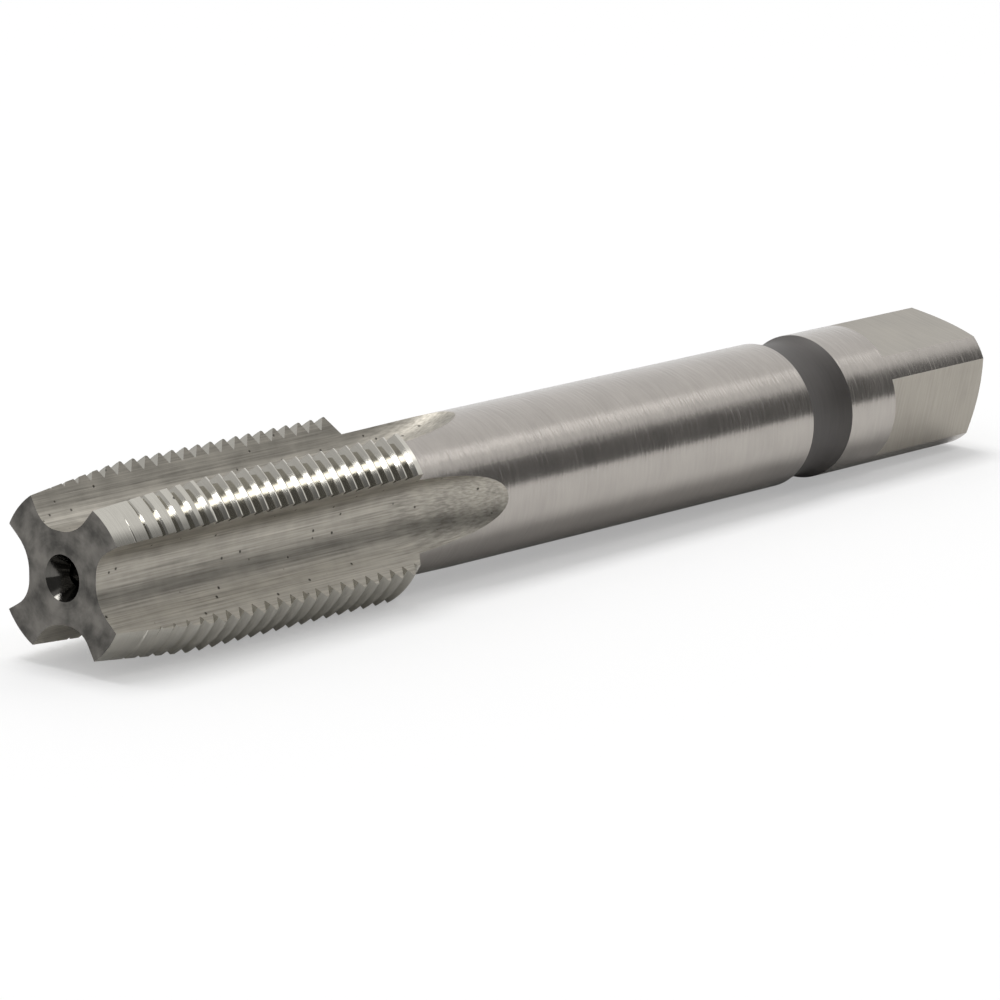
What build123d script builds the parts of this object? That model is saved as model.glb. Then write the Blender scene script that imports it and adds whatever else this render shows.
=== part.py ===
import math
import os

from build123d import *

# A hand tap with a left-hand M14 x 1.25 thread, ground and turned from one bar.
# The axis lies on X. The origin is the middle of the tip face, X runs to the driven end,
# +Z is up, and one of the four flutes faces straight down, so that two lands carry the tap.
# The front of the tap faces -Y. Angles round the axis run from +Y towards +Z.

# Lengths along the axis
OVERALL_LENGTH = 95.0
THREAD_LENGTH = 28.9
THREAD_FOOT_LENGTH = 1.0
CHAMFER_LENGTH = 8.7
NECK_START = 73.0
NECK_LENGTH = 4.7
NECK_FALL_LENGTH = 3.0
SQUARE_LENGTH = 12.0
END_BEVEL_LENGTH = 0.5

# Diameters across the axis
THREAD_DIAMETER = 14.0
TIP_DIAMETER = 12.0
SHANK_DIAMETER = 11.0
NECK_DIAMETER = 10.2
END_DIAMETER = 8.6
SQUARE_WIDTH = 9.0
SQUARE_TURN = 13.0

# Thread form, of sixty degrees. The crest is cut off by a share of the sharp height,
# and the root is flat for a share of the pitch.
PITCH = 1.25
FLANK_ANGLE = 30.0
CREST_SHARE = 1 / 8
ROOT_SHARE = 1 / 16
FIRST_ROOT = 0.38
LEAD_MARGIN = 12.0

# Flutes, counted round from the one that faces down
FLUTE_COUNT = 4
LAND_ANGLE = 30.0
CORE_DIAMETER = 6.4
HEEL_WALL_ANGLE = 41.0
FACE_CORNER_RADIUS = 2.1
HEEL_CORNER_RADIUS = 3.0
FLUTE_LENGTH = 27.0
FLUTE_CUTTER_RADIUS = 30.0
CHAMFER_RELIEF = 0.12

# Centre holes
CENTRE_MOUTH_DIAMETER = 3.25
CENTRE_PILOT_DIAMETER = 1.6
CENTRE_PILOT_LENGTH = 1.8
CENTRE_CONE_ANGLE = 60.0
DRILL_POINT_ANGLE = 118.0

# How far a cutter stands clear of the bar
CLEARANCE = 1.0

FULL_TURN = 360.0
thread_radius = THREAD_DIAMETER / 2
tip_radius = TIP_DIAMETER / 2
shank_radius = SHANK_DIAMETER / 2
neck_radius = NECK_DIAMETER / 2
end_radius = END_DIAMETER / 2
core_radius = CORE_DIAMETER / 2
square_start = OVERALL_LENGTH - SQUARE_LENGTH
thread_foot = THREAD_LENGTH + THREAD_FOOT_LENGTH
neck_floor = NECK_START + NECK_FALL_LENGTH
neck_end = NECK_START + NECK_LENGTH
flute_spacing = FULL_TURN / FLUTE_COUNT
flute_half_angle = (flute_spacing - LAND_ANGLE) / 2
front_angle = FULL_TURN / 2


def around(angle, radius=1.0, x=0.0):
    """A point at an angle round the axis, from +Y towards +Z."""
    turn = math.radians(angle)
    return Vector(x, radius * math.cos(turn), radius * math.sin(turn))


# The turned bar: lead chamfer, thread diameter, shank, neck groove, collar and end bevel.
# The neck is two arcs that meet level at its floor.
with BuildPart() as bar:
    with BuildSketch(Plane.XZ):
        with BuildLine():
            Polyline(
                (NECK_START, shank_radius),
                (thread_foot, shank_radius),
                (THREAD_LENGTH, thread_radius),
                (CHAMFER_LENGTH, thread_radius),
                (0, tip_radius),
                (0, 0),
                (OVERALL_LENGTH, 0),
                (OVERALL_LENGTH, end_radius),
                (OVERALL_LENGTH - END_BEVEL_LENGTH, shank_radius),
                (neck_end, shank_radius),
            )
            TangentArc((neck_floor, neck_radius), (neck_end, shank_radius), tangent=(1, 0))
            TangentArc((neck_floor, neck_radius), (NECK_START, shank_radius), tangent=(-1, 0))
        make_face()
    revolve(axis=Axis.X)

# The comb that grinds the thread on one land. Each tooth is a V with a narrow flat,
# and the teeth run together outside the thread, where they leave the crests flat.
flank_slope = 2 * math.tan(math.radians(FLANK_ANGLE))
sharp_height = PITCH / flank_slope
crest_apex = thread_radius + sharp_height * CREST_SHARE
root_flat = PITCH * ROOT_SHARE
root_radius = crest_apex - sharp_height + root_flat / flank_slope
comb_outside = crest_apex + CLEARANCE
root_count = int((THREAD_LENGTH - FIRST_ROOT) / PITCH) + 1
comb_arc = LAND_ANGLE + 2 * LEAD_MARGIN
first_root_at_start = FIRST_ROOT - PITCH * LEAD_MARGIN / FULL_TURN
with BuildLine() as comb_track:
    Helix(
        pitch=PITCH,
        height=PITCH * comb_arc / FULL_TURN,
        radius=thread_radius,
        direction=(1, 0, 0),
        lefthand=True,
    )
track_start = comb_track.line @ 0
start_angle = math.degrees(math.atan2(track_start.Z, track_start.Y))
comb_plane = Plane(origin=(0, 0, 0), x_dir=(1, 0, 0), z_dir=Vector(1, 0, 0).cross(around(start_angle)))
comb_points = [(-PITCH / 2, comb_outside), (-PITCH / 2, crest_apex)]
for root in range(root_count):
    middle = root * PITCH
    comb_points.append((middle - root_flat / 2, root_radius))
    comb_points.append((middle + root_flat / 2, root_radius))
    comb_points.append((middle + PITCH / 2, crest_apex))
comb_points.append((root_count * PITCH - PITCH / 2, comb_outside))
with BuildPart() as comb:
    with BuildSketch(comb_plane):
        with BuildLine():
            Polyline(*comb_points, close=True)
        make_face()
    sweep(path=comb_track.line, is_frenet=True)

# The flute cutter: a disc whose rim has the flute's section. Its radial wall is the
# cutting face and its sloping wall is the heel. It runs straight, then lifts out.
cutter_plane = Plane(origin=(FLUTE_LENGTH, 0, 0), x_dir=(0, 0, -1), z_dir=(-1, 0, 0))
cutter_outside = thread_radius + CLEARANCE
face_slope = math.tan(math.radians(flute_half_angle))
heel_edge_y = tip_radius * math.sin(math.radians(flute_half_angle))
heel_edge_x = tip_radius * math.cos(math.radians(flute_half_angle))
heel_slope = math.tan(math.radians(HEEL_WALL_ANGLE))
heel_foot = heel_edge_y - (heel_edge_x - core_radius) * heel_slope
face_side = (cutter_outside, cutter_outside * face_slope)
heel_side = (cutter_outside, -heel_foot - (cutter_outside - core_radius) * heel_slope)
cutter_axis = Axis((FLUTE_LENGTH, 0, -core_radius - FLUTE_CUTTER_RADIUS), (0, 1, 0))
lift_angle = math.degrees(
    math.acos((FLUTE_CUTTER_RADIUS + core_radius - thread_radius - CLEARANCE) / FLUTE_CUTTER_RADIUS)
)
with BuildPart() as flute_cutter:
    with BuildSketch(cutter_plane) as flute_section:
        with BuildLine():
            FilletPolyline(
                face_side,
                (core_radius, core_radius * face_slope),
                (core_radius, -heel_foot),
                heel_side,
                radius=[FACE_CORNER_RADIUS, HEEL_CORNER_RADIUS],
            )
            Line(face_side, heel_side)
        make_face()
    extrude(amount=FLUTE_LENGTH + CLEARANCE)
    revolve(flute_section.sketch, axis=cutter_axis, revolution_arc=lift_angle)

# The relief behind each chamfer tooth: a cone about an axis off to the side, which
# touches the lead chamfer at the cutting edge and falls below it towards the heel
relief_side = 90 - LAND_ANGLE / 2
relief_offset = CHAMFER_RELIEF / (2 * math.cos(math.radians(relief_side)))
chamfer_slope = (thread_radius - tip_radius) / CHAMFER_LENGTH
relief_start_radius = tip_radius - CHAMFER_RELIEF / 2 - CLEARANCE * chamfer_slope
relief_rise = comb_outside - relief_start_radius
relief_centre = around(start_angle - LEAD_MARGIN + relief_side, relief_offset)
relief_plane = Plane(origin=relief_centre, x_dir=comb_plane.x_dir, z_dir=comb_plane.z_dir)
with BuildPart() as relief_cutter:
    with BuildSketch(relief_plane):
        with BuildLine():
            Polyline(
                (-CLEARANCE, relief_start_radius),
                (-CLEARANCE + relief_rise / chamfer_slope, comb_outside),
                (-CLEARANCE, comb_outside),
                close=True,
            )
        make_face()
    revolve(axis=Axis(relief_centre, (-1, 0, 0)), revolution_arc=comb_arc)

# The centre drill: a short pilot with a sixty degree countersink
centre_mouth_radius = CENTRE_MOUTH_DIAMETER / 2
centre_pilot_radius = CENTRE_PILOT_DIAMETER / 2
centre_cone_slope = math.tan(math.radians(CENTRE_CONE_ANGLE / 2))
centre_cone_depth = (centre_mouth_radius - centre_pilot_radius) / centre_cone_slope
centre_pilot_end = centre_cone_depth + CENTRE_PILOT_LENGTH
centre_point = centre_pilot_end + centre_pilot_radius / math.tan(math.radians(DRILL_POINT_ANGLE / 2))
with BuildPart() as centre_drill:
    with BuildSketch(Plane.XZ):
        with BuildLine():
            Polyline(
                (-CLEARANCE, 0),
                (-CLEARANCE, centre_mouth_radius + CLEARANCE * centre_cone_slope),
                (centre_cone_depth, centre_pilot_radius),
                (centre_pilot_end, centre_pilot_radius),
                (centre_point, 0),
                close=True,
            )
        make_face()
    revolve(axis=Axis.X)

# Where the comb stands for each land, from the one above the front flute and on upwards.
# The left-hand thread advances a share of its pitch from each land to the next.
first_land_angle = front_angle - flute_half_angle
land_places = []
for land in range(FLUTE_COUNT):
    advance = first_root_at_start + PITCH * land / FLUTE_COUNT
    turn = first_land_angle + LEAD_MARGIN - start_angle - land * flute_spacing
    land_places.append((advance, turn))

with BuildPart() as tap:
    add(bar.part)
    for advance, turn in land_places:
        with Locations(Location((0, 0, 0), (turn, 0, 0))):
            add(relief_cutter.part, mode=Mode.SUBTRACT)
        with Locations(Location((advance, 0, 0), (turn, 0, 0))):
            add(comb.part, mode=Mode.SUBTRACT)
    for flute in range(FLUTE_COUNT):
        with Locations(Location((0, 0, 0), (flute * flute_spacing, 0, 0))):
            add(flute_cutter.part, mode=Mode.SUBTRACT)
    with BuildSketch(Plane.YZ.offset(square_start)):
        Circle(shank_radius + CLEARANCE)
        Rectangle(SQUARE_WIDTH, SQUARE_WIDTH, rotation=SQUARE_TURN, mode=Mode.SUBTRACT)
    extrude(amount=SQUARE_LENGTH + CLEARANCE, mode=Mode.SUBTRACT)
    add(centre_drill.part, mode=Mode.SUBTRACT)
    add(centre_drill.part.mirror(Plane.YZ.offset(OVERALL_LENGTH / 2)), mode=Mode.SUBTRACT)

tap.part.label = "tap"
os.makedirs("parts", exist_ok=True)
export_step(tap.part, "parts/tap.step")
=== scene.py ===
"""A left-hand hand tap of bright ground steel, lying on a pale floor.

The tap is one skin, made by one geometry node tree from the tap's driving sizes. Its rows follow
the thread, so that every crest, root and cutting edge is a real edge of the mesh.
"""

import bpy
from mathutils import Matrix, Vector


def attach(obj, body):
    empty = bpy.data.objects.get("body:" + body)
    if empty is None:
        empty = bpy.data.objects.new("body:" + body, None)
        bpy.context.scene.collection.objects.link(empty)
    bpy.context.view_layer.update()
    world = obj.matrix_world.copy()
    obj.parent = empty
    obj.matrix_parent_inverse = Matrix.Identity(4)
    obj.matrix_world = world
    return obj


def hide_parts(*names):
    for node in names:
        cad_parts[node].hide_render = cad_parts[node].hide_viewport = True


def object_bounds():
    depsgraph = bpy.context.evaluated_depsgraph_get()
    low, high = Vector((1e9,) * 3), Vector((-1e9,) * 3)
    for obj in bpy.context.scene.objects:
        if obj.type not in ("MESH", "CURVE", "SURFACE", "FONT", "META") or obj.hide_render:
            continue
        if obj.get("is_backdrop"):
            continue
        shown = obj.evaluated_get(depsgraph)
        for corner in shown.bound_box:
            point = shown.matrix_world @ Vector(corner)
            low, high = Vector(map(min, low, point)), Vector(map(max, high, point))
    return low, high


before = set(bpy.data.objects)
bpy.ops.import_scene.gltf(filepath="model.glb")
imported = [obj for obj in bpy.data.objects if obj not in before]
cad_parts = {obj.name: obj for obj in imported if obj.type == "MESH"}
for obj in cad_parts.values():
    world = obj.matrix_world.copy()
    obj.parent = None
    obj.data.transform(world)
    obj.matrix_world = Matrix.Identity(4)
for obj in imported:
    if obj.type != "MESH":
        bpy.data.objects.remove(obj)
cad_low, cad_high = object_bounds()

import inspect
import logging
import math
from collections.abc import Callable
from dataclasses import dataclass, fields
from enum import Enum, IntEnum
from functools import wraps
from types import SimpleNamespace

import bpy
from mathutils import Matrix, Vector

log = logging.getLogger("tap")

MM = 0.001
QUARTER = math.pi / 2
HALF_TURN = math.pi
FULL_TURN = 2 * math.pi
FLUTES = 4
SECTOR = "sector"
WHITE = (1.0, 1.0, 1.0, 1.0)

# Halfway from one whole number to the next, and how near a whole number counts as that number
HALF_STEP = 0.5
WHOLE_MARGIN = 0.25

# Points closer than this are welded, and edges that turn more than this stay sharp
WELD_DISTANCE = 0.002 * MM
SHARP_ANGLE = math.radians(12.0)

# Beyond this share of the shank's radius the square shows the turned bar and not a flat
CORNER_SHARE = 0.99

# How far below the axis the floor lies at the end of the full thread
LAND_DROP = 6.07 * MM

# The value that a noise texture swings about
NOISE_MIDDLE = 0.5


class Term:
    """One output socket, on which arithmetic adds Math nodes."""

    def __init__(self, graph: "Graph", socket: bpy.types.NodeSocket) -> None:
        """Keep the socket and the graph that it belongs to."""
        self.graph = graph
        self.socket = socket

    def math(self, operation: str, *others: "Operand") -> "Term":
        """Add a Math node on this term and the others, and return its result."""
        return self.graph.math(operation, self, *others)

    def __add__(self, other: "Operand") -> "Term":
        """Sum."""
        return self.math("ADD", other)

    __radd__ = __add__

    def __mul__(self, other: "Operand") -> "Term":
        """Product."""
        return self.math("MULTIPLY", other)

    __rmul__ = __mul__

    def __sub__(self, other: "Operand") -> "Term":
        """Difference."""
        return self.math("SUBTRACT", other)

    def __rsub__(self, other: "Operand") -> "Term":
        """Difference, with this term taken away."""
        return self.graph.math("SUBTRACT", other, self)

    def __truediv__(self, other: "Operand") -> "Term":
        """Quotient."""
        return self.math("DIVIDE", other)

    def __rtruediv__(self, other: "Operand") -> "Term":
        """Quotient, with this term as the divisor."""
        return self.graph.math("DIVIDE", other, self)

    def __neg__(self) -> "Term":
        """Opposite."""
        return self * -1.0

    def __abs__(self) -> "Term":
        """Size without sign."""
        return self.math("ABSOLUTE")

    def least(self, other: "Operand") -> "Term":
        """The smaller of the two."""
        return self.math("MINIMUM", other)

    def most(self, other: "Operand") -> "Term":
        """The larger of the two."""
        return self.math("MAXIMUM", other)

    def clamp(self, low: "Operand" = 0.0, high: "Operand" = 1.0) -> "Term":
        """This term held between two limits."""
        return self.most(low).least(high)

    def is_near(self, value: float) -> "Term":
        """One where a whole number has this value, and nought elsewhere."""
        return self.math("COMPARE", value, WHOLE_MARGIN)

    def above(self, value: "Operand") -> "Term":
        """One where this term is larger than the value, and nought elsewhere."""
        return self.math("GREATER_THAN", value)

    def towards(self, other: "Operand", share: "Operand") -> "Term":
        """A share of the way from this term to the other."""
        return self + (other - self) * share

    def sqrt(self) -> "Term":
        """Square root."""
        return self.math("SQRT")

    def sin(self) -> "Term":
        """Sine."""
        return self.math("SINE")

    def cos(self) -> "Term":
        """Cosine."""
        return self.math("COSINE")

    def arcsin(self) -> "Term":
        """Angle with this sine."""
        return self.math("ARCSINE")

    def arccos(self) -> "Term":
        """Angle with this cosine."""
        return self.math("ARCCOSINE")


Operand = Term | float


class Graph:
    """Adds nodes to one node tree and joins their sockets."""

    # A Mix node's colour sockets, by number because its other sockets have the same names
    mix_inputs = (6, 7)
    mix_output = 2

    def __init__(self, tree: bpy.types.NodeTree) -> None:
        """Keep the tree."""
        self.tree = tree

    @classmethod
    def of(cls, owner: bpy.types.Material | bpy.types.World) -> "Graph":
        """Start the nodes of a material or a world afresh.

        Args:
            owner: The material or the world.

        Returns:
            The graph of its emptied tree.
        """
        owner.use_nodes = True
        owner.node_tree.nodes.clear()
        return cls(owner.node_tree)

    def node(
        self, kind: str, settings: dict | None = None, sockets: dict | None = None
    ) -> bpy.types.Node:
        """Add one node.

        Args:
            kind: The node's type.
            settings: Its own settings, which are set first.
            sockets: Values or terms for its input sockets, by name or number.

        Returns:
            The new node.
        """
        made = self.tree.nodes.new(kind)
        for name, value in (settings or {}).items():
            setattr(made, name, value)
        for key, value in (sockets or {}).items():
            if isinstance(value, Term):
                self.tree.links.new(value.socket, made.inputs[key])
            else:
                made.inputs[key].default_value = value
        return made

    def term(
        self,
        kind: str,
        settings: dict | None = None,
        sockets: dict | None = None,
        output: int | str = 0,
    ) -> Term:
        """Add one node and return one of its outputs."""
        return Term(self, self.node(kind, settings, sockets).outputs[output])

    def math(self, operation: str, *values: Operand) -> Term:
        """Add one Math node on these values."""
        return self.term("ShaderNodeMath", {"operation": operation}, dict(enumerate(values)))

    def split(self, vector: Term) -> tuple[Term, Term, Term]:
        """Split a vector into its three parts."""
        parts = self.node("ShaderNodeSeparateXYZ", sockets={0: vector})
        return tuple(Term(self, output) for output in parts.outputs)

    def mix_colour(self, share: Operand, first: Term | tuple, second: Term | tuple) -> Term:
        """Mix two colours.

        Args:
            share: The second colour's share.
            first: The first colour, as a term or as red, green and blue.
            second: The second colour, given in the same way.

        Returns:
            The mixed colour.
        """
        colours = [end if isinstance(end, Term) else (*end, 1.0) for end in (first, second)]
        sockets = {"Factor": share, **dict(zip(self.mix_inputs, colours))}
        return self.term("ShaderNodeMix", {"data_type": "RGBA"}, sockets, self.mix_output)


@dataclass(frozen=True)
class TapSizes:
    """The tap's driving sizes, in metres and radians. Each is an input of the skin's tree."""

    overall_length: float = 95.0 * MM
    thread_length: float = 28.9 * MM
    thread_foot: float = 29.9 * MM
    lead_length: float = 8.7 * MM
    thread_radius: float = 7.0 * MM
    tip_radius: float = 6.0 * MM
    shank_radius: float = 5.5 * MM
    pitch: float = 1.25 * MM
    first_root: float = 0.38 * MM
    root_radius: float = 6.1206 * MM
    root_half_flat: float = 0.0391 * MM
    lead_relief: float = 0.12 * MM
    land_angle: float = math.radians(30.0)
    core_radius: float = 3.2 * MM
    heel_wall_angle: float = math.radians(41.0)
    face_corner_radius: float = 2.1 * MM
    heel_corner_radius: float = 3.0 * MM
    flute_length: float = 27.0 * MM
    flute_cutter_radius: float = 30.0 * MM
    run_out_end: float = 41.0 * MM
    neck_start: float = 73.0 * MM
    neck_length: float = 4.7 * MM
    neck_fall_length: float = 3.0 * MM
    neck_radius: float = 5.1 * MM
    square_start: float = 83.0 * MM
    square_half_width: float = 4.5 * MM
    square_turn: float = math.radians(-13.0)
    end_bevel_length: float = 0.5 * MM
    end_radius: float = 4.3 * MM
    centre_mouth_radius: float = 1.625 * MM
    centre_pilot_radius: float = 0.8 * MM
    centre_cone_depth: float = 1.429 * MM
    centre_pilot_end: float = 3.229 * MM
    centre_point: float = 3.71 * MM


class GrooveRow(IntEnum):
    """The rows of the skin in one groove of the thread, in order along the axis."""

    WALL_START = 0
    ROOT_START = 1
    ROOT_END = 2
    WALL_END = 3
    CREST = 4


@dataclass(frozen=True)
class SkinGrid:
    """How finely the skin is divided."""

    grooves: int = 23
    rows_per_groove: int = len(GrooveRow)
    slope_rows: int = 5
    heel_wall: int = 3
    heel_corner: int = 7
    base: int = 2
    face_corner: int = 7
    face_wall: int = 3
    land: int = 10
    run_out_rows: int = 18
    shank_start_rows: int = 6
    shank_rows: int = 24
    neck_rows: int = 16
    collar_rows: int = 3
    square_rows: int = 8
    face_rows: int = 4
    centre_rows: int = 3

    @property
    def flute(self) -> int:
        """Columns across one flute."""
        return self.heel_wall + self.heel_corner + self.base + self.face_corner + self.face_wall

    @property
    def sector(self) -> int:
        """Columns across one flute and the land that follows it."""
        return self.flute + self.land

    @property
    def slope_start(self) -> int:
        """The row at the end of the full thread."""
        return 1 + self.grooves * self.rows_per_groove

    @property
    def cutting_rows(self) -> int:
        """Rows from the tip face to the foot of the thread."""
        return self.slope_start + self.slope_rows


def add_size_inputs(tree: bpy.types.NodeTree) -> None:
    """Give a tree one named input for each driving size."""
    for size in fields(TapSizes):
        add_number(tree, input_label(size.name), "INPUT")


def add_number(tree: bpy.types.NodeTree, name: str, side: str) -> None:
    """Give a tree one named number, as an input or an output."""
    tree.interface.new_socket(name, in_out=side, socket_type="NodeSocketFloat")


def input_label(name: str) -> str:
    """A size's name as the tree shows it."""
    return name.replace("_", " ").capitalize()


def formula(*results: str) -> Callable:
    """Keep the nodes of one of the rule's methods in a node group, made once and then reused.

    Args:
        results: Names of the terms that the method returns.

    Returns:
        The decorator.
    """

    def keep(method: Callable) -> Callable:
        """Wrap the method.

        Args:
            method: A method of the rule, on terms.

        Returns:
            The method that adds the group instead.
        """
        arguments = tuple(inspect.signature(method).parameters)[1:]

        @wraps(method)
        def call(rule: "TapRule", *values: Operand) -> tuple[Term, ...]:
            """Add the method's group to the rule's graph.

            Args:
                rule: The rule.
                values: The method's own arguments.

            Returns:
                The group's outputs.
            """
            kept = rule.groups.get(method.__name__)
            if kept is None:
                kept = rule.make_group(method, arguments, results)
                rule.groups[method.__name__] = kept
            sockets = {input_label(name): term for name, term in vars(rule.size).items()}
            sockets.update(zip(arguments, values))
            group = rule.graph.node("GeometryNodeGroup", {"node_tree": kept}, sockets)
            return tuple(Term(rule.graph, group.outputs[name]) for name in results)

        return call

    return keep


class TapRule:
    """The tap's form as a rule: where each row and column of its skin lies."""

    flank_slope = math.tan(math.radians(60.0))
    groups: dict[str, bpy.types.NodeTree] = {}

    # How the columns crowd together round the mouth of the tip's centre hole
    mouth_lean = math.radians(5.0)
    mouth_gain = math.radians(10.0)

    def __init__(self, graph: Graph, size: SimpleNamespace, grid: SkinGrid) -> None:
        """Work out what the rest of the rule shares.

        Args:
            graph: The tree that the rule's nodes go into.
            size: The driving sizes as terms, by their names in TapSizes.
            grid: The counts of rows and columns.
        """
        self.graph = graph
        self.size = size
        self.grid = grid
        self.face_angle = (QUARTER - size.land_angle) / 2
        self.lead_slope = (size.thread_radius - size.tip_radius) / size.lead_length
        heel_sine = size.heel_wall_angle.sin()
        heel_cosine = size.heel_wall_angle.cos()
        heel_edge_u = size.tip_radius * self.face_angle.cos()
        heel_edge_w = size.tip_radius * self.face_angle.sin()
        self.heel_sine = heel_sine
        self.heel_foot = heel_edge_w - (heel_edge_u - size.core_radius) * heel_sine / heel_cosine
        self.heel_offset = size.core_radius * heel_sine - self.heel_foot * heel_cosine
        self.heel_bend = QUARTER - size.heel_wall_angle
        self.face_bend = QUARTER - self.face_angle
        heel_half = self.heel_bend / 2
        face_half = self.face_bend / 2
        self.heel_tangent = size.heel_corner_radius * heel_half.sin() / heel_half.cos()
        self.face_tangent = size.face_corner_radius * face_half.sin() / face_half.cos()
        face_foot = size.core_radius * self.face_angle.sin() / self.face_angle.cos()
        self.base_length = face_foot - self.face_tangent + self.heel_foot - self.heel_tangent
        self.cutter_axis = size.core_radius + size.flute_cutter_radius

    @classmethod
    def open(cls, tree: bpy.types.NodeTree, grid: SkinGrid) -> "TapRule":
        """Start the rule in a tree that has the size inputs.

        Args:
            tree: The tree.
            grid: The counts of rows and columns.

        Returns:
            The rule.
        """
        graph = Graph(tree)
        given = graph.node("NodeGroupInput").outputs
        names = [size.name for size in fields(TapSizes)]
        terms = {name: Term(graph, given[input_label(name)]) for name in names}
        return cls(graph, SimpleNamespace(**terms), grid)

    def make_group(
        self, method: Callable, arguments: tuple[str, ...], results: tuple[str, ...]
    ) -> bpy.types.NodeTree:
        """Make the node group that holds one method's nodes.

        Args:
            method: The method.
            arguments: Names of its arguments.
            results: Names of what it returns.

        Returns:
            The group's tree.
        """
        tree = bpy.data.node_groups.new(method.__name__, "GeometryNodeTree")
        add_size_inputs(tree)
        for name in arguments:
            add_number(tree, name, "INPUT")
        for name in results:
            add_number(tree, name, "OUTPUT")
        inner = TapRule.open(tree, self.grid)
        given = inner.graph.node("NodeGroupInput").outputs
        terms = method(inner, *(Term(inner.graph, given[name]) for name in arguments))
        inner.graph.node("NodeGroupOutput", sockets=dict(zip(results, terms)))
        return tree

    def lift(self, x: Operand, u: Operand) -> Term:
        """How far the flute cutter has lifted a point of its rim.

        Args:
            x: The point's place along the axis.
            u: Its distance from the axis before the lift.

        Returns:
            The lift.
        """
        reach = (x - self.size.flute_length).most(0.0)
        arm = self.cutter_axis - u
        return arm - (arm * arm - reach * reach).most(0.0).sqrt()

    def heel_turn(self, radius: Term, x: Term) -> Term:
        """The angle of the heel wall at a radius, from the middle of its flute."""
        raised = self.heel_offset + self.lift(x, self.size.shank_radius) * self.heel_sine
        return self.heel_bend - (raised / radius).arccos()

    def face_turn(self, x: Term) -> Term:
        """The angle of the cutting face, from the middle of its flute."""
        raised = self.lift(x, self.size.shank_radius) * self.face_angle.sin()
        return self.face_angle - (raised / self.size.shank_radius).arcsin()

    def blank_radius(self, x: Term, turn: Operand) -> Term:
        """The radius of the bar before its thread is cut.

        Args:
            x: The place along the axis.
            turn: The angle behind the cutting edge.

        Returns:
            The radius.
        """
        side = QUARTER - self.size.land_angle / 2
        relief = self.size.lead_relief
        behind = relief / (2 * side.cos()) * (side + turn).cos() - relief / 2
        lead = self.size.tip_radius + self.lead_slope * x + behind
        fall = self.size.thread_radius - self.size.shank_radius
        slope = fall / (self.size.thread_foot - self.size.thread_length)
        rear = self.size.thread_radius - (x - self.size.thread_length) * slope
        return lead.least(self.size.thread_radius).least(rear)

    @formula("x", "radius")
    def station(self, row: Term, land: Term, turn: Term) -> tuple[Term, Term]:
        """Where a row of the skin meets a land.

        Args:
            row: The row, from the tip face to the foot of the thread.
            land: The land's number.
            turn: The angle behind the land's cutting edge.

        Returns:
            The place along the axis and the radius.
        """
        grid, pitch = self.grid, self.size.pitch
        groove = ((row - 1) / grid.rows_per_groove).math("FLOOR").clamp(0.0, grid.grooves - 1)
        step = row - 1 - groove * grid.rows_per_groove
        root = self.size.first_root + pitch * (groove + land / FLUTES + turn / FULL_TURN)
        flat = self.size.root_half_flat
        full = (self.size.thread_radius - self.size.root_radius) / self.flank_slope + flat
        rise = self.blank_radius(root, turn) - self.size.root_radius + flat * self.flank_slope
        before = (rise / (self.lead_slope + self.flank_slope)).least(full).most(0.0)
        after = (rise / (self.flank_slope - self.lead_slope)).least(full).most(0.0)
        offset = (
            after * step.is_near(GrooveRow.WALL_END)
            + flat.least(after) * step.is_near(GrooveRow.ROOT_END)
            - flat.least(before) * step.is_near(GrooveRow.ROOT_START)
            - before * step.is_near(GrooveRow.WALL_START)
            + pitch / 2 * step.above(GrooveRow.CREST - HALF_STEP)
        )
        threaded = (root + offset).clamp(0.0, self.size.thread_length) * row.above(HALF_STEP)
        fall = self.size.thread_foot - self.size.thread_length
        share = (row - grid.slope_start) / grid.slope_rows
        sloped = self.size.thread_length + fall * share
        x = threaded.towards(sloped, row.above(grid.slope_start - HALF_STEP))
        groove_wall = self.size.root_radius + (abs(x - root) - flat).most(0.0) * self.flank_slope
        return x, self.blank_radius(x, turn).least(groove_wall)

    def land_span(self, row: Term, land: Operand) -> tuple[Term, Term]:
        """Where a land starts and ends.

        Args:
            row: The row of the skin.
            land: The land's number.

        Returns:
            Both angles, behind the land's nominal cutting edge.
        """
        guess = QUARTER - 2 * self.face_angle
        x, radius = self.station(row, land, guess)
        start = self.face_turn(x) - self.face_angle
        end = QUARTER - self.face_angle + self.heel_turn(radius, x)
        return start, end

    @formula("x", "radius", "turn")
    def land_point(self, row: Term, share: Term, land: Term) -> tuple[Term, Term, Term]:
        """A point of a land.

        Args:
            row: The row of the skin.
            share: The share of the way from the cutting edge to the heel.
            land: The land's number.

        Returns:
            Its x, its radius and its angle from the middle of the flute before it.
        """
        start, end = self.land_span(row, land)
        turn = start.towards(end, share)
        x, radius = self.station(row, land, turn)
        return x, radius, turn + self.face_angle

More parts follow.
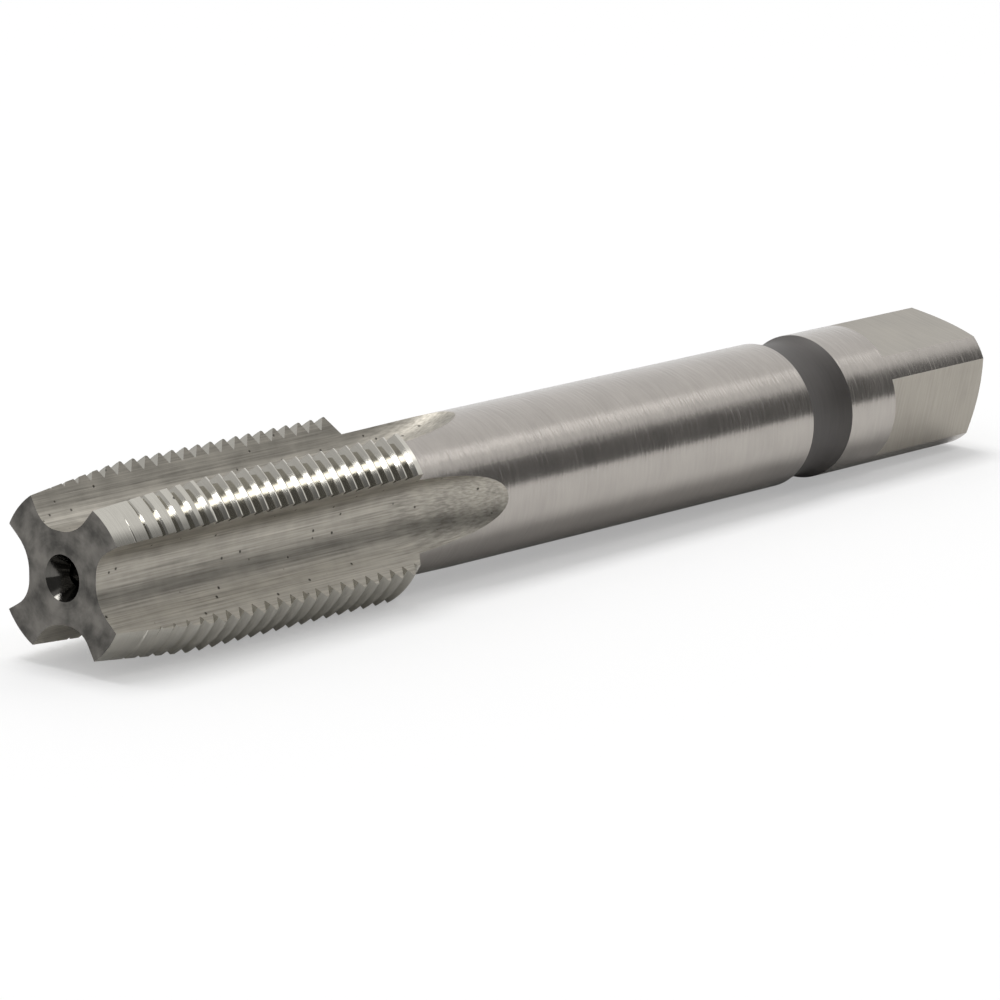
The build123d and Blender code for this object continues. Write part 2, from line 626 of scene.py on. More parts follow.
    @formula("x", "u", "w")
    def flute_point(self, row: Term, column: Term, flute: Term) -> tuple[Term, Term, Term]:
        """A point of a flute.

        Args:
            row: The row of the skin.
            column: The column, from the heel to the cutting face.
            flute: The flute's number.

        Returns:
            Its x, and its places outwards and sideways from the flute's middle.
        """
        size, grid = self.size, self.grid
        land_before = flute - 1 + FLUTES * (1 - flute.above(HALF_STEP))
        heel_x, heel_radius, heel_turn = self.land_point(row, 1.0, land_before)
        heel_turn = heel_turn - QUARTER
        face_x, face_radius, face_turn = self.land_point(row, 0.0, flute)
        x = heel_x.towards(face_x, column / grid.flute)
        past_wall = column - grid.heel_wall
        past_corner = past_wall - grid.heel_corner
        past_base = past_corner - grid.base
        past_face_corner = past_base - grid.face_corner
        heel_arc = HALF_TURN + self.heel_bend * (1 - (past_wall / grid.heel_corner).clamp())
        face_arc = HALF_TURN - self.face_bend * (past_base / grid.face_corner).clamp()
        base = self.base_length * (past_corner / grid.base).clamp()
        u = (
            size.core_radius
            + size.heel_corner_radius * (1 + heel_arc.cos())
            + size.face_corner_radius * (1 + face_arc.cos())
        )
        w = (
            self.heel_tangent
            - self.heel_foot
            + size.heel_corner_radius * heel_arc.sin()
            + base
            + size.face_corner_radius * face_arc.sin()
        )
        u = u + self.lift(x, u)
        heel_share = (column / grid.heel_wall).clamp()
        face_share = (past_face_corner / grid.face_wall).clamp()
        u = (heel_radius * heel_turn.cos()).towards(u, heel_share)
        w = (heel_radius * heel_turn.sin()).towards(w, heel_share)
        u = u.towards(face_radius * face_turn.cos(), face_share)
        w = w.towards(face_radius * face_turn.sin(), face_share)
        return x, u, w

    @formula("x", "u", "w")
    def run_out_point(self, column: Term, flute: Term, share: Term) -> tuple[Term, Term, Term]:
        """A point of a flute past the thread.

        Args:
            column: The column, from the heel to the cutting face.
            flute: The flute's number.
            share: The share of the way up the cutter's arc to the shank.

        Returns:
            Its x, and its places outwards and sideways from the flute's middle.
        """
        x, u, w = self.flute_point(float(self.grid.cutting_rows), column, flute)
        reach = x - self.size.flute_length
        arm = self.cutter_axis - u
        rim = (arm * arm + reach * reach).sqrt()
        start = reach.math("ARCTAN2", arm)
        radius = self.size.shank_radius
        top = (radius * radius - w * w).most(0.0).sqrt()
        end = ((self.cutter_axis - top) / rim).least(1.0).arccos().most(start)
        angle = start.towards(end, share)
        x = self.size.flute_length + rim * angle.sin()
        return x, self.cutter_axis - rim * angle.cos(), w

    def shank_turn(self, column: Term, flute: Term) -> tuple[Term, Term]:
        """Where a column starts on the shank.

        Args:
            column: The sector's column.
            flute: The number of the sector's flute.

        Returns:
            Its x, and its angle from the middle of the flute.
        """
        within = column.least(float(self.grid.flute))
        x, _, w = self.run_out_point(within, flute, 1.0)
        edge = (w / self.size.shank_radius).arcsin()
        foot = self.size.thread_foot
        heel = QUARTER + self.heel_turn(self.size.shank_radius, foot)
        span = heel - self.face_turn(foot)
        return x, edge + span * self.land_share(column)

    def land_share(self, column: Term) -> Term:
        """The share of the way over the sector's land, which is nought on its flute."""
        return ((column - self.grid.flute) / self.grid.land).clamp()

    def flat_half_angle(self) -> Term:
        """Half of the angle that one flat of the square takes up."""
        return (self.size.square_half_width / self.size.shank_radius).arccos()

    def flat_turn(self, column: Term) -> Term:
        """The angle of a column from the middle of its flat, and past the flat its corner's."""
        within = (column / self.grid.flute).clamp()
        return self.flat_half_angle() * (2 * within - 1)

    def square_turn(self, column: Term) -> Term:
        """The angle of a column on the square.

        Args:
            column: The sector's column.

        Returns:
            The angle from the middle of the sector's flute.
        """
        corner = (QUARTER - 2 * self.flat_half_angle()) * self.land_share(column)
        return self.size.square_turn + self.flat_turn(column) + corner

    def section_radius(self, column: Term) -> Term:
        """The square's radius at a column."""
        return self.size.square_half_width / self.flat_turn(column).cos()

    def tip_turn(self, column: Term) -> Term:
        """The angle of a column round the mouth of the tip's centre hole.

        Args:
            column: The sector's column.

        Returns:
            The angle from the middle of the sector's flute.
        """
        grid, lean = self.grid, self.mouth_lean
        curve = grid.flute - grid.heel_wall - grid.face_wall
        heel = (column / grid.heel_wall).clamp()
        middle = ((column - grid.heel_wall) / curve).clamp()
        face = ((column - grid.flute + grid.face_wall) / grid.face_wall).clamp()
        edge = self.face_angle + self.mouth_gain
        land = (QUARTER - 2 * edge) * self.land_share(column)
        return (heel + face) * lean + middle * 2 * (edge - lean) + land - edge

    def bar_radius(self, x: Term) -> Term:
        """The radius of the shank, with its neck of two arcs that meet level at the floor.

        Args:
            x: The place along the axis.

        Returns:
            The radius.
        """
        size = self.size
        past = x - size.neck_start - size.neck_fall_length
        rising = past.above(0.0)
        rise_length = size.neck_length - size.neck_fall_length
        reach = size.neck_fall_length.towards(rise_length, rising)
        depth = size.shank_radius - size.neck_radius
        arc = (reach * reach + depth * depth) / (2 * depth)
        across = abs(past).least(reach)
        return size.neck_radius + arc - (arc * arc - across * across).sqrt()

    def bevel_start(self, section: Term) -> Term:
        """Where the bevel of the driven end starts on a column of the square.

        Args:
            section: The square's radius at the column.

        Returns:
            The place along the axis.
        """
        size = self.size
        share = (section - size.end_radius) / (size.shank_radius - size.end_radius)
        return size.overall_length - size.end_bevel_length * share


class Finish(Enum):
    """The finishes of the tap's surfaces."""

    GROUND_SHANK = "ground_shank"
    GROUND_THREAD = "ground_thread"
    GROUND_FLUTE = "ground_flute"
    GROUND_FACE = "ground_face"
    SCALED_TIP = "scaled_tip"
    TURNED_NECK = "turned_neck"
    # The centre holes' steel, darkened nearly to black as painted shade inside the recess
    DRILLED_HOLE = "drilled_hole"


class TapSkin:
    """The tap's one skin, welded from patches that one tree makes."""

    # Half the side of a flat patch before it is bent
    half_side = 0.5

    def __init__(
        self, sizes: TapSizes, grid: SkinGrid, materials: dict[Finish, bpy.types.Material]
    ) -> None:
        """Start the skin's tree.

        Args:
            sizes: The tap's driving sizes.
            grid: The counts of rows and columns.
            materials: One material for each finish.
        """
        self.sizes = sizes
        self.grid = grid
        self.materials = materials
        self.tree = bpy.data.node_groups.new("tap_skin", "GeometryNodeTree")
        self.tree.interface.new_socket(
            "Geometry", in_out="OUTPUT", socket_type="NodeSocketGeometry"
        )
        add_size_inputs(self.tree)
        self.rule = TapRule.open(self.tree, grid)
        self.graph = self.rule.graph
        self.patches: list[Term] = []

    def sector_patch(self, rows: int, columns: int) -> tuple[Term, Term, Term, Term]:
        """Four copies of a flat grid, one for each sector of the tap.

        Args:
            rows: Its rows along the axis.
            columns: Its columns round the axis.

        Returns:
            The grid, and the row, column and sector of each of its points.
        """
        graph = self.graph
        side = 2 * self.half_side
        counts = {"Vertices X": rows + 1, "Vertices Y": columns + 1}
        flat = graph.term(
            "GeometryNodeMeshGrid", sockets={"Size X": side, "Size Y": side, **counts}
        )
        places = graph.term(
            "GeometryNodeMeshLine", sockets={"Count": FLUTES, "Offset": (0.0, 0.0, 0.0)}
        )
        numbered = graph.term(
            "GeometryNodeStoreNamedAttribute",
            {"data_type": "FLOAT", "domain": "POINT"},
            {"Geometry": places, "Name": SECTOR, "Value": graph.term("GeometryNodeInputIndex")},
        )
        copies = graph.term(
            "GeometryNodeInstanceOnPoints", sockets={"Points": numbered, "Instance": flat}
        )
        real = graph.term("GeometryNodeRealizeInstances", sockets={"Geometry": copies})
        across, down, _ = self.position()
        row = ((across + self.half_side) * rows).math("ROUND")
        column = ((down + self.half_side) * columns).math("ROUND")
        sector = graph.term(
            "GeometryNodeInputNamedAttribute", {"data_type": "FLOAT"}, {"Name": SECTOR}
        )
        return real, row, column, sector

    def position(self) -> tuple[Term, Term, Term]:
        """The place of each point, or of the middle of each face."""
        return self.graph.split(self.graph.term("GeometryNodeInputPosition"))

    def add_patch(
        self, patch: Term, x: Term, u: Term, w: Term, sector: Term, finish: Finish
    ) -> None:
        """Bend a flat patch into its place and give it its finish.

        Args:
            patch: The flat patch.
            x: Its points' places along the axis.
            u: Their distances from the axis along the middle of the sector's flute.
            w: Their distances sideways from it, towards the cutting face.
            sector: The sector's number.
            finish: The finish.
        """
        turn = sector * QUARTER
        y = w * turn.sin() - u * turn.cos()
        z = u * turn.sin() + w * turn.cos()
        place = self.graph.term("ShaderNodeCombineXYZ", sockets={0: x, 1: y, 2: z})
        bent = self.graph.term(
            "GeometryNodeSetPosition", sockets={"Geometry": patch, "Position": place}
        )
        self.patches.append(self.dress(bent, finish))

    def add_round_patch(
        self, patch: Term, x: Term, radius: Term, turn: Term, sector: Term, finish: Finish
    ) -> None:
        """Bend a patch whose points are given by their radius and angle."""
        self.add_patch(patch, x, radius * turn.cos(), radius * turn.sin(), sector, finish)

    def dress(self, patch: Term, finish: Finish, selection: Term | None = None) -> Term:
        """Give a patch a finish.

        Args:
            patch: The patch.
            finish: The finish.
            selection: Which of its faces get it, if not all.

        Returns:
            The patch with its material.
        """
        sockets = {"Geometry": patch, "Material": self.materials[finish]}
        if selection is not None:
            sockets["Selection"] = selection
        return self.graph.term("GeometryNodeSetMaterial", sockets=sockets)

    def add_lands(self) -> None:
        """The four lands, with their thread and its lead."""
        patch, row, column, sector = self.sector_patch(self.grid.cutting_rows, self.grid.land)
        x, radius, turn = self.rule.land_point(row, column / self.grid.land, sector)
        self.add_round_patch(patch, x, radius, turn, sector, Finish.GROUND_THREAD)

    def add_flutes(self) -> None:
        """The four flutes beside the lands."""
        patch, row, column, sector = self.sector_patch(self.grid.cutting_rows, self.grid.flute)
        x, u, w = self.rule.flute_point(row, column, sector)
        self.add_patch(patch, x, u, w, sector, Finish.GROUND_FLUTE)

    def add_run_outs(self) -> None:
        """The flutes' ends, where the cutter lifted out of the shank."""
        patch, row, column, sector = self.sector_patch(self.grid.run_out_rows, self.grid.flute)
        x, u, w = self.rule.run_out_point(column, sector, row / self.grid.run_out_rows)
        self.add_patch(patch, x, u, w, sector, Finish.GROUND_FLUTE)

    def add_tip_face(self) -> None:
        """The flat face of the tip, from the mouth of its centre hole to the edges."""
        rule, grid = self.rule, self.grid
        mouth = rule.size.centre_mouth_radius
        patch, row, column, sector = self.sector_patch(grid.face_rows, grid.land)
        share = row / grid.face_rows
        x, radius, turn = rule.land_point(0.0, column / grid.land, sector)
        inner = rule.tip_turn(column + grid.flute)
        u = (mouth * inner.cos()).towards(radius * turn.cos(), share)
        w = (mouth * inner.sin()).towards(radius * turn.sin(), share)
        self.add_patch(patch, x, u, w, sector, Finish.SCALED_TIP)
        patch, row, column, sector = self.sector_patch(grid.face_rows, grid.flute)
        share = row / grid.face_rows
        x, u, w = rule.flute_point(0.0, column, sector)
        inner = rule.tip_turn(column)
        u = (mouth * inner.cos()).towards(u, share)
        w = (mouth * inner.sin()).towards(w, share)
        self.add_patch(patch, x, u, w, sector, Finish.SCALED_TIP)

    def add_centre_hole(self, at_tip: bool) -> None:
        """The centre hole in the tip or in the driven end.

        Args:
            at_tip: Whether it is the tip's.
        """
        size, grid = self.rule.size, self.grid
        patch, row, column, sector = self.sector_patch(grid.centre_rows, grid.sector)
        out = row if at_tip else grid.centre_rows - row
        depth = (
            size.centre_point
            - (size.centre_point - size.centre_pilot_end) * out.clamp()
            - (size.centre_pilot_end - size.centre_cone_depth) * (out - 1).clamp()
            - size.centre_cone_depth * (out - 2).clamp()
        )
        cone = size.centre_mouth_radius - size.centre_pilot_radius
        radius = size.centre_pilot_radius * out.clamp() + cone * (out - 2).clamp()
        x = depth if at_tip else size.overall_length - depth
        turn = self.rule.tip_turn(column) if at_tip else self.rule.square_turn(column)
        # Its steel is painted dark, as shade inside the hole
        self.add_round_patch(patch, x, radius, turn, sector, Finish.DRILLED_HOLE)

    def add_shank(self) -> None:
        """The shank round the flutes' ends, the neck groove and the collar."""
        size, grid = self.rule.size, self.grid
        rows = grid.shank_start_rows + grid.shank_rows + grid.neck_rows + grid.collar_rows
        patch, row, column, sector = self.sector_patch(rows, grid.sector)
        start, first_turn = self.rule.shank_turn(column, sector)
        past_start = row - grid.shank_start_rows
        past_shank = past_start - grid.shank_rows
        past_neck = past_shank - grid.neck_rows
        plain = (past_start / grid.shank_rows).clamp()
        neck_end = size.neck_start + size.neck_length
        x = (
            start.towards(size.run_out_end, (row / grid.shank_start_rows).clamp())
            + (size.neck_start - size.run_out_end) * plain
            + size.neck_length * (past_shank / grid.neck_rows).clamp()
            + (size.square_start - neck_end) * (past_neck / grid.collar_rows).clamp()
        )
        radius = self.rule.bar_radius(x)
        turn = first_turn.towards(self.rule.square_turn(column), plain)
        self.add_round_patch(patch, x, radius, turn, sector, Finish.GROUND_SHANK)

    def add_square(self) -> None:
        """The square drive, with its shoulders and flats."""
        size, grid = self.rule.size, self.grid
        patch, row, column, sector = self.sector_patch(grid.square_rows + 1, grid.sector)
        section = self.rule.section_radius(column)
        end = self.rule.bevel_start(section)
        x = size.square_start.towards(end, ((row - 1) / grid.square_rows).clamp())
        radius = size.shank_radius.towards(section, row.clamp())
        turn = self.rule.square_turn(column)
        self.add_round_patch(patch, x, radius, turn, sector, Finish.GROUND_FACE)

    def add_end(self) -> None:
        """The turned bevel and the flat face of the driven end."""
        size, grid = self.rule.size, self.grid
        patch, row, column, sector = self.sector_patch(grid.face_rows + 1, grid.sector)
        section = self.rule.section_radius(column)
        x = self.rule.bevel_start(section).towards(size.overall_length, row.clamp())
        rim = size.end_radius
        inner = ((row - 1) / grid.face_rows).clamp()
        radius = section.towards(rim, row.clamp()) + (size.centre_mouth_radius - rim) * inner
        turn = self.rule.square_turn(column)
        self.add_round_patch(patch, x, radius, turn, sector, Finish.GROUND_FACE)

    def weld(self) -> Term:
        """Join the patches.

        Returns:
            One closed skin with sharp and smooth edges.
        """
        graph = self.graph
        join = graph.node("GeometryNodeJoinGeometry")
        for patch in self.patches:
            self.tree.links.new(patch.socket, join.inputs[0])
        welded = graph.term(
            "GeometryNodeMergeByDistance",
            sockets={"Geometry": Term(graph, join.outputs[0]), "Distance": WELD_DISTANCE},
        )
        angle = graph.term("GeometryNodeInputMeshEdgeAngle")
        smooth = graph.term(
            "GeometryNodeSetShadeSmooth",
            {"domain": "FACE"},
            {"Geometry": welded, "Shade Smooth": True},
        )
        return graph.term(
            "GeometryNodeSetShadeSmooth",
            {"domain": "EDGE"},
            {"Geometry": smooth, "Selection": angle.above(SHARP_ANGLE), "Shade Smooth": False},
        )

    def finish_tree(self, skin: Term) -> None:
        """Give the neck and the square's round corners their finishes, and end the tree.

        Args:
            skin: The closed skin.
        """
        size = self.rule.size
        real = self.graph.term("GeometryNodeRealizeInstances", sockets={"Geometry": skin})
        x, y, z = self.position()
        neck_end = size.neck_start + size.neck_length
        in_neck = x.above(size.neck_start) * (1 - x.above(neck_end))
        radius = (y * y + z * z).sqrt()
        is_round = radius.above(size.shank_radius * CORNER_SHARE)
        on_corner = x.above(size.square_start) * is_round
        necked = self.dress(real, Finish.TURNED_NECK, in_neck)
        dressed = self.dress(necked, Finish.GROUND_SHANK, on_corner)
        self.graph.node("NodeGroupOutput", sockets={0: dressed})

    def build(self) -> bpy.types.Object:
        """Make the skin.

        Returns:
            The tap, as one plain mesh object at the origin.
        """
        self.add_lands()
        self.add_flutes()
        self.add_run_outs()
        self.add_tip_face()
        self.add_centre_hole(at_tip=True)
        self.add_shank()
        self.add_square()
        self.add_end()
        self.add_centre_hole(at_tip=False)
        self.finish_tree(self.weld())
        seed = bpy.data.objects.new("tap_seed", bpy.data.meshes.new("tap_seed"))
        bpy.context.scene.collection.objects.link(seed)
        modifier = seed.modifiers.new("skin", "NODES")
        modifier.node_group = self.tree
        values = {
            input_label(size.name): getattr(self.sizes, size.name) for size in fields(self.sizes)
        }
        for item in self.tree.interface.items_tree:
            if item.in_out == "INPUT":
                modifier[item.identifier] = values[item.name]
        depsgraph = bpy.context.evaluated_depsgraph_get()
        mesh = bpy.data.meshes.new_from_object(
            seed.evaluated_get(depsgraph), preserve_all_data_layers=True, depsgraph=depsgraph
        )
        seed.modifiers.remove(modifier)
        bpy.data.objects.remove(seed)
        tap = bpy.data.objects.new("ground_tap", mesh)
        bpy.context.scene.collection.objects.link(tap)
        return tap


class Marks(Enum):
    """The way a finish's fine marks run."""

    ROUND = "round the axis"
    ALONG = "along the axis"
    RINGS = "in rings on an end face"


@dataclass(frozen=True)
class Steel:
    """One finish of the tool steel: its tones, its fine marks, its mottling and its nicks."""

    light: tuple[float, float, float] = (0.475, 0.444, 0.410)
    dark: tuple[float, float, float] = (0.330, 0.308, 0.285)
    metallic: float = 1.0
    roughness: float = 0.20
    roughness_spread: float = 0.10
    marks: Marks = Marks.ROUND
    mark_spacing: float = 0.12 * MM
    mark_length: float = 3.0 * MM
    mark_depth: float = 0.013 * MM
    mark_tone: float = 0.35
    mottle_size: float = 3.0 * MM
    mottle_tone: float = 0.35
    nick_share: float = 0.0
    nick_size: float = 0.10 * MM
    nick_cell: float = 0.9 * MM
    nick_tone: tuple[float, float, float] = (0.09, 0.083, 0.072)
    nick_depth: float = 0.02 * MM

    # How finely the noises break up, and between which shares of its size a nick's edge fades
    mark_detail = 3.0
    mottle_detail = 4.0
    nick_core = 2 / 3
    nick_rim = 4 / 3

    @staticmethod
    def noise(graph: Graph, place: Term, scale: float, detail: float) -> Term:
        """Smooth noise that swings about NOISE_MIDDLE."""
        sockets = {"Vector": place, "Scale": scale, "Detail": detail}
        return graph.term("ShaderNodeTexNoise", sockets=sockets)

    def marks_place(self, graph: Graph, place: Term) -> Term:
        """Where a point lies among the marks.

        Args:
            graph: The material's graph.
            place: The point's place.

        Returns:
            Its place in steps of one mark's width and one mark's length.
        """
        x, y, z = graph.split(place)
        across, along = 1 / self.mark_spacing, 1 / self.mark_length
        if self.marks is Marks.ROUND:
            scaled = (x * across, y * along, z * along)
        elif self.marks is Marks.ALONG:
            scaled = (x * along, y * across, z * across)
        else:
            scaled = ((y * y + z * z).sqrt() * across, y * along, z * along)
        return graph.term("ShaderNodeCombineXYZ", sockets=dict(enumerate(scaled)))

    def nicks(self, graph: Graph, place: Term) -> Term:
        """Where the small nicks are.

        Args:
            graph: The material's graph.
            place: A point's place.

        Returns:
            One inside the nicks, and nought outside them.
        """
        sockets = {"Vector": place, "Scale": 1 / self.nick_cell}
        cells = graph.node("ShaderNodeTexVoronoi", {"feature": "F1"}, sockets)
        distance = Term(graph, cells.outputs["Distance"]) / (self.nick_size / self.nick_cell)
        random_colour = Term(graph, cells.outputs["Color"])
        chosen = graph.term("ShaderNodeSeparateColor", sockets={0: random_colour})
        inside = ((self.nick_rim - distance) / (self.nick_rim - self.nick_core)).clamp()
        return inside * (self.nick_share - chosen).above(0.0)

    def material(self, name: str) -> bpy.types.Material:
        """Make the finish's material.

        Args:
            name: The material's name.

        Returns:
            The material, which reads only Object coordinates.
        """
        made = bpy.data.materials.new(name)
        graph = Graph.of(made)
        place = graph.term("ShaderNodeTexCoord", output="Object")
        marks = self.noise(graph, self.marks_place(graph, place), 1.0, self.mark_detail)
        mottle = self.noise(graph, place, 1 / self.mottle_size, self.mottle_detail)
        marked = (marks - NOISE_MIDDLE) * (2 * self.mark_tone)
        mottled = (mottle - NOISE_MIDDLE) * (2 * self.mottle_tone)
        tone = (NOISE_MIDDLE + marked + mottled).clamp()
        colour = graph.mix_colour(tone, self.dark, self.light)
        height = marks * self.mark_depth
        if self.nick_share:
            nicks = self.nicks(graph, place)
            colour = graph.mix_colour(nicks, colour, self.nick_tone)
            height = height - nicks * self.nick_depth
        roughness = self.roughness + (mottle - NOISE_MIDDLE) * self.roughness_spread
        bump = graph.term(
            "ShaderNodeBump", sockets={"Strength": 1.0, "Distance": 1.0, "Height": height}
        )
        shader = graph.term(
            "ShaderNodeBsdfPrincipled",
            sockets={
                "Base Color": colour,
                "Metallic": self.metallic,
                "Roughness": roughness,
                "Normal": bump,
            },
        )
        graph.node("ShaderNodeOutputMaterial", sockets={"Surface": shader})
        return made


STEEL = {
    Finish.GROUND_SHANK: Steel(
        mark_spacing=0.24 * MM,
        mark_length=2.0 * MM,
        mark_depth=0.028 * MM,
        mark_tone=0.25,
    ),
    Finish.GROUND_THREAD: Steel(
        light=(0.640, 0.618, 0.560),
        dark=(0.460, 0.443, 0.398),
        roughness=0.10,
        roughness_spread=0.06,
        mark_spacing=0.08 * MM,
        mark_depth=0.0012 * MM,
        nick_share=0.02,
    ),
    Finish.GROUND_FLUTE: Steel(
        light=(0.520, 0.488, 0.428),
        dark=(0.250, 0.235, 0.205),
        roughness=0.45,
        roughness_spread=0.2,
        marks=Marks.ALONG,
        mark_spacing=0.13 * MM,
        mark_length=7.0 * MM,
        mark_depth=0.008 * MM,
        mark_tone=0.9,
        mottle_size=1.6 * MM,
        mottle_tone=0.5,
        nick_share=0.42,
    ),
    Finish.GROUND_FACE: Steel(
        light=(0.405, 0.376, 0.330),
        dark=(0.285, 0.264, 0.230),
        roughness=0.32,
        mark_spacing=0.15 * MM,
        mark_depth=0.006 * MM,
        mark_tone=0.5,
    ),
    Finish.SCALED_TIP: Steel(
        light=(0.195, 0.185, 0.169),
        dark=(0.068, 0.065, 0.060),
        roughness=0.45,
        marks=Marks.RINGS,
        mark_spacing=0.14 * MM,
        mark_length=0.8 * MM,
        mark_depth=0.003 * MM,
        mark_tone=0.16,
        mottle_size=1.5 * MM,
        mottle_tone=1.4,
    ),
    Finish.TURNED_NECK: Steel(
        light=(0.098, 0.090, 0.084),
        dark=(0.060, 0.055, 0.052),
        metallic=0.35,
        roughness=0.55,
        mark_spacing=0.25 * MM,
        mark_depth=0.006 * MM,
    ),
    # Nearly black steel: painted shade inside the centre holes, not a tone of drilled steel
    Finish.DRILLED_HOLE: Steel(
        light=(0.160, 0.154, 0.142),
        dark=(0.060, 0.058, 0.054),
        roughness=0.14,
        mark_depth=0.002 * MM,
    ),
}


@dataclass(frozen=True)
class Lamp:
    """A soft lamp that faces the tap. A white floor in full light has a radiance of about 1."""

    name: str
    place: tuple[float, float, float]
    width: float
    height: float
    radiance: float


# One wide lamp lights the floor. The small ones show as bright lines in the steel: the far one in
# the shank, the near one in the thread's flanks, and the side one deep in its grooves.
LAMPS = (
    Lamp("overhead_lamp", (0.10, 0.52, 2.45), 1.08, 1.08, 8.1),
    Lamp("far_lamp", (0.457, -0.161, 0.379), 0.16, 0.05, 1.0),
    Lamp("near_lamp", (-0.510, -0.018, 0.268), 0.14, 0.034, 6.0),
    Lamp("side_lamp", (0.1095, -0.249, 0.482), 0.14, 0.07, 5.0),
)


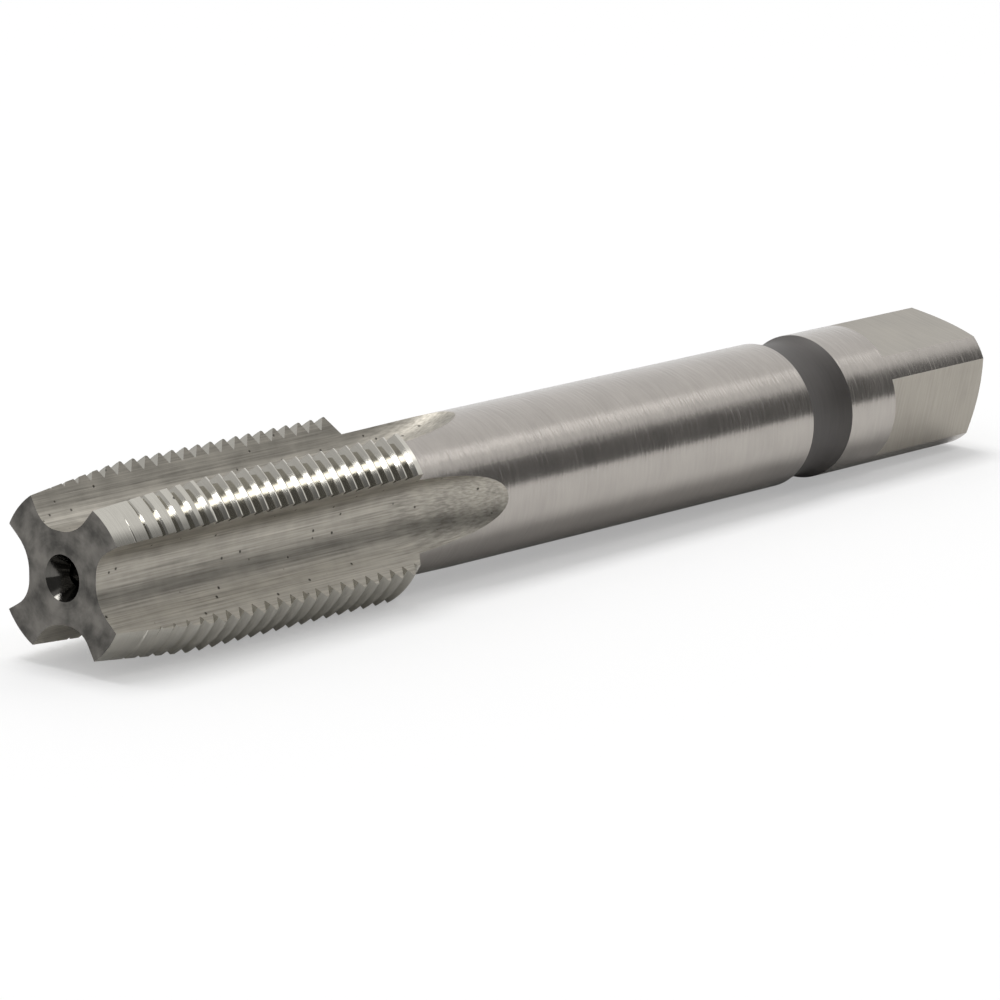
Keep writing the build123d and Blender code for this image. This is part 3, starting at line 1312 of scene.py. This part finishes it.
@dataclass
class Studio:
    """The floor, the lights, the world and the camera."""

    lamp_target: tuple[float, float, float] = (40 * MM, 0.0, 0.0)
    camera_place: tuple[float, float, float] = (-259.365 * MM, -270.042 * MM, 91.507 * MM)
    camera_right: tuple[float, float, float] = (0.66709561, -0.74488324, 0.01150667)
    camera_up: tuple[float, float, float] = (0.15938822, 0.15779748, 0.97452314)
    camera_back: tuple[float, float, float] = (-0.72772168, -0.64826608, 0.22399162)
    focal_length: float = 207.5
    clip_near: float = 10 * MM
    clip_far: float = 10.0

    # The floor touches the lands' ends and the collar. Its glow keeps it white to the camera.
    floor_size: float = 3.0
    floor_colour: tuple[float, float, float] = (0.95, 0.95, 0.95)
    floor_touch: tuple[float, float, float] = (TapSizes.thread_length, 0.0, -LAND_DROP)
    floor_lean: float = math.atan(
        (LAND_DROP - TapSizes.shank_radius) / (TapSizes.square_start - TapSizes.thread_length)
    )
    camera_glow: float = 0.36
    mirror_glow: float = 0.03

    # The room is lighter beyond the driven end
    room_light: float = 0.62
    far_light: float = 0.97
    far_start: float = 0.3
    far_full: float = 0.6

    # Its low dark side, and the dark screen above that, give the steel its dark bands
    dark_light: float = 0.16
    dark_bearing: float = math.radians(-110.0)
    dark_spread: float = math.radians(78.0)
    dark_blur: float = math.radians(16.0)
    dark_height: float = math.radians(27.5)
    dark_top_blur: float = math.radians(4.0)
    screen_way: tuple[float, float, float] = (0.0, -0.819, 0.574)
    screen_spread: float = math.radians(28.0)
    screen_blur: float = math.radians(14.0)

    # Straight up, where a direction has no level part, this stands in for it
    least_level: float = 0.001

    def add_camera(self) -> None:
        """Put the camera where the photograph was taken from."""
        data = bpy.data.cameras.new("camera")
        data.lens = self.focal_length
        data.clip_start = self.clip_near
        data.clip_end = self.clip_far
        camera = bpy.data.objects.new("camera", data)
        turned = Matrix((self.camera_right, self.camera_up, self.camera_back)).transposed()
        camera.matrix_world = Matrix.Translation(self.camera_place) @ turned.to_4x4()
        bpy.context.scene.collection.objects.link(camera)
        bpy.context.scene.camera = camera

    def add_floor(self) -> None:
        """Lay a pale floor that the thread and the collar rest on."""
        half = self.floor_size / 2
        corners = [(-half, -half, 0), (half, -half, 0), (half, half, 0), (-half, half, 0)]
        mesh = bpy.data.meshes.new("floor")
        mesh.from_pydata(corners, [], [(0, 1, 2, 3)])
        lean = Matrix.Rotation(-self.floor_lean, 4, "Y")
        mesh.transform(Matrix.Translation(self.floor_touch) @ lean)
        floor = bpy.data.objects.new("floor", mesh)
        bpy.context.scene.collection.objects.link(floor)
        material = bpy.data.materials.new("floor")
        graph = Graph.of(material)
        paint = graph.term("ShaderNodeBsdfDiffuse", sockets={"Color": (*self.floor_colour, 1.0)})
        glow = graph.term("ShaderNodeEmission", sockets={"Color": WHITE, "Strength": 1.0})
        rays = graph.node("ShaderNodeLightPath").outputs
        mirrored = Term(graph, rays["Is Glossy Ray"]).most(Term(graph, rays["Is Transmission Ray"]))
        seen = Term(graph, rays["Is Camera Ray"])
        share = seen * self.camera_glow + mirrored * self.mirror_glow
        mixed = graph.term("ShaderNodeMixShader", sockets={0: share, 1: paint, 2: glow})
        graph.node("ShaderNodeOutputMaterial", sockets={"Surface": mixed})
        mesh.materials.append(material)
        floor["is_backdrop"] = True

    def room_strength(self, x: Term, y: Term, z: Term) -> Term:
        """How bright the room is in one direction.

        Args:
            x: The direction's part along the tap.
            y: Its part to the back.
            z: Its part upwards.

        Returns:
            The strength of the room's light from there.
        """
        level = (x * x + y * y).sqrt().most(self.least_level)
        facing = (x * math.cos(self.dark_bearing) + y * math.sin(self.dark_bearing)) / level
        sideways = self.within(facing, self.dark_spread, self.dark_blur)
        top, blur = math.sin(self.dark_height), self.dark_top_blur
        below = 1 - self.ramp(z, top - blur, top + blur)
        screen_x, screen_y, screen_z = self.screen_way
        ahead = x * screen_x + y * screen_y + z * screen_z
        screen = self.within(ahead, self.screen_spread, self.screen_blur)
        lighter = (self.far_light - self.room_light) * self.ramp(x, self.far_start, self.far_full)
        room = self.room_light + lighter
        return room.towards(self.dark_light, (sideways * below).most(screen))

    def add_world(self) -> None:
        """Surround the tap with a pale room, and the camera with a white backdrop."""
        world = bpy.data.worlds.new("studio")
        graph = Graph.of(world)
        x, y, z = graph.split(graph.term("ShaderNodeTexCoord", output="Generated"))
        lit, white = (
            graph.term("ShaderNodeBackground", sockets={"Color": WHITE, "Strength": strength})
            for strength in (self.room_strength(x, y, z), 1.0)
        )
        seen = graph.term("ShaderNodeLightPath", output="Is Camera Ray")
        mixed = graph.term("ShaderNodeMixShader", sockets={0: seen, 1: lit, 2: white})
        graph.node("ShaderNodeOutputWorld", sockets={"Surface": mixed})
        bpy.context.scene.world = world

    def within(self, cosine: Term, spread: float, blur: float) -> Term:
        """One within an angle, and nought past its blurred edge."""
        return self.ramp(cosine, math.cos(spread + blur), math.cos(spread))

    @staticmethod
    def ramp(value: Term, low: float, high: float) -> Term:
        """Nought below the low value, one above the high one, and smooth between them."""
        share = ((value - low) / (high - low)).clamp()
        return share * share * (3 - 2 * share)

    def add_lamp(self, lamp: Lamp) -> None:
        """Hang one lamp, out of the camera's sight.

        Args:
            lamp: The lamp.
        """
        data = bpy.data.lights.new(lamp.name, "AREA")
        data.shape = "RECTANGLE"
        data.size, data.size_y = lamp.width, lamp.height
        data.energy = lamp.radiance * math.pi * lamp.width * lamp.height
        made = bpy.data.objects.new(lamp.name, data)
        way = Vector(self.lamp_target) - Vector(lamp.place)
        made.location = lamp.place
        made.rotation_euler = way.to_track_quat("-Z", "Y").to_euler()
        made.visible_camera = False
        bpy.context.scene.collection.objects.link(made)

    def build(self) -> None:
        """Set up the whole studio."""
        self.add_camera()
        self.add_floor()
        self.add_world()
        for lamp in LAMPS:
            self.add_lamp(lamp)
        bpy.context.scene.view_settings.view_transform = "Standard"


def main() -> None:
    """Build the tap and its studio, and work out both boxes."""
    logging.basicConfig(level=logging.INFO, format="%(name)s: %(message)s")
    finishes = {finish: STEEL[finish].material(finish.value) for finish in Finish}
    tap = TapSkin(TapSizes(), SkinGrid(), finishes).build()
    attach(tap, "root")
    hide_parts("tap")
    log.info("%s has %d faces", tap.name, len(tap.data.polygons))
    Studio().build()
    low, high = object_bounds()
    boxes = {"cad": [list(cad_low), list(cad_high)], "visual": [list(low), list(high)]}


if __name__ == "__main__":
    main()
